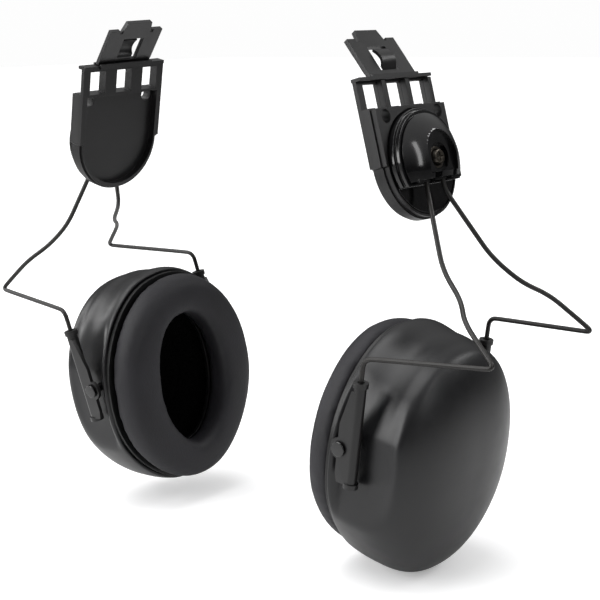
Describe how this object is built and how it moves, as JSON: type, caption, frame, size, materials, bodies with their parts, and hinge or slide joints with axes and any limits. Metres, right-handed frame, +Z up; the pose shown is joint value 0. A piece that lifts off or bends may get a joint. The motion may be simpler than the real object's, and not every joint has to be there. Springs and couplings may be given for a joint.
{
  "type": "earmuff hearing protector",
  "caption": "Helmet-mounted earmuff pair: padded ear cups on sprung wire arms with swivel hubs, hung from slotted brackets with latching helmet blades.",
  "frame": {"origin": "bottom centre of the bounding box, on the plane the right-hand cup stands on", "axes": "+X across the head towards the wearer's right-hand unit, -Y the front, +Z up"},
  "size_m": [0.265, 0.0984, 0.22],
  "materials": {
    "shell_plastic": "satin black moulded shell",
    "bracket_plastic": "fine grained black moulding",
    "holder_plastic": "fine grained black moulding",
    "gloss_plastic": "glossy black moulding",
    "cushion_vinyl": "matte grained vinyl skin over foam",
    "liner_foam": "open cell black foam",
    "wire_steel": "dark drawn spring steel",
    "screw_steel": "zinc plated steel"
  },
  "bodies": {
    "right_mount": {"right_bracket": "bracket_plastic", "right_helmet_blade": "bracket_plastic", "right_hub_screw": "screw_steel", "right_hub_washer": "screw_steel"},
    "right_latch": {"right_latch_tongue": "bracket_plastic"},
    "right_hub": {"right_hub_base": "bracket_plastic", "right_hub_dome": "gloss_plastic"},
    "right_arm": {"right_wire_arm": "wire_steel"},
    "right_front_slider": {"right_front_wire_holder": "holder_plastic"},
    "right_rear_slider": {"right_rear_wire_holder": "holder_plastic"},
    "right_cup": {"right_cup_shell": "shell_plastic", "right_foam_liner": "liner_foam", "right_seal_plate": "gloss_plastic", "right_ear_cushion": "cushion_vinyl", "right_front_pivot_pin": "gloss_plastic", "right_rear_pivot_pin": "gloss_plastic"},
    "left_mount": {"left_bracket": "bracket_plastic", "left_helmet_blade": "bracket_plastic", "left_hub_screw": "screw_steel", "left_hub_washer": "screw_steel"},
    "left_latch": {"left_latch_tongue": "bracket_plastic"},
    "left_hub": {"left_hub_base": "bracket_plastic", "left_hub_dome": "gloss_plastic"},
    "left_arm": {"left_wire_arm": "wire_steel"},
    "left_front_slider": {"left_front_wire_holder": "holder_plastic"},
    "left_rear_slider": {"left_rear_wire_holder": "holder_plastic"},
    "left_cup": {"left_cup_shell": "shell_plastic", "left_foam_liner": "liner_foam", "left_seal_plate": "gloss_plastic", "left_ear_cushion": "cushion_vinyl", "left_front_pivot_pin": "gloss_plastic", "left_rear_pivot_pin": "gloss_plastic"}
  },
  "joints": [
    {"name": "pair_spacing", "type": "slide", "parent": "right_mount", "child": "left_mount", "axis": [-1, 0, 0], "range_m": [-0.015, 0.03]},
    {"name": "right_latch_flex", "type": "hinge", "parent": "right_mount", "child": "right_latch", "pos_m": [0.06202, 0.00418, 0.19902], "axis": [0, 1, 0], "range_deg": [-14, 4]},
    {"name": "right_hub_swivel", "type": "hinge", "parent": "right_mount", "child": "right_hub", "pos_m": [0.07888, 0.00418, 0.16542], "axis": [0.969, 0, 0.247], "range_deg": [-75, 75]},
    {"name": "right_arm_swing", "type": "hinge", "parent": "right_hub", "child": "right_arm", "pos_m": [0.08283, 0.00418, 0.16085], "axis": [0, -1, 0], "range_deg": [0, 35]},
    {"name": "right_front_height", "type": "slide", "parent": "right_arm", "child": "right_front_slider", "axis": [0.1392, 0, 0.9903], "range_m": [-0.02, 0.004]},
    {"name": "right_rear_height", "type": "slide", "parent": "right_arm", "child": "right_rear_slider", "axis": [0.1392, 0, 0.9903], "range_m": [-0.02, 0.004]},
    {"name": "right_cup_tilt", "type": "hinge", "parent": "right_front_slider", "child": "right_cup", "pos_m": [0.0708, 0.00418, 0.06079], "axis": [0, 1, 0], "range_deg": [-12, 12]},
    {"name": "left_latch_flex", "type": "hinge", "parent": "left_mount", "child": "left_latch", "pos_m": [-0.06319, -0.01972, 0.20449], "axis": [0, -0.9993, -0.0366], "range_deg": [-14, 4]},
    {"name": "left_hub_swivel", "type": "hinge", "parent": "left_mount", "child": "left_hub", "pos_m": [-0.07892, -0.01847, 0.17037], "axis": [-0.9767, -0.0079, 0.2146], "range_deg": [-67.4, 82.6]},
    {"name": "left_arm_swing", "type": "hinge", "parent": "left_hub", "child": "left_arm", "pos_m": [-0.08271, -0.01758, 0.16575], "axis": [-0.0327, 0.9858, 0.1644], "range_deg": [0, 35]},
    {"name": "left_front_height", "type": "slide", "parent": "left_arm", "child": "left_front_slider", "axis": [-0.1547, -0.1675, 0.9736], "range_m": [-0.02, 0.004]},
    {"name": "left_rear_height", "type": "slide", "parent": "left_arm", "child": "left_rear_slider", "axis": [-0.1547, -0.1675, 0.9736], "range_m": [-0.02, 0.004]},
    {"name": "left_cup_tilt", "type": "hinge", "parent": "left_front_slider", "child": "left_cup", "pos_m": [-0.06911, -0.00071, 0.06732], "axis": [0.0327, -0.9858, -0.1644], "range_deg": [-5, 19]}
  ],
  "couplings": [
    {"joint": "right_rear_height", "follows": "right_front_height", "ratio": 1},
    {"joint": "left_rear_height", "follows": "left_front_height", "ratio": 1}
  ]
}
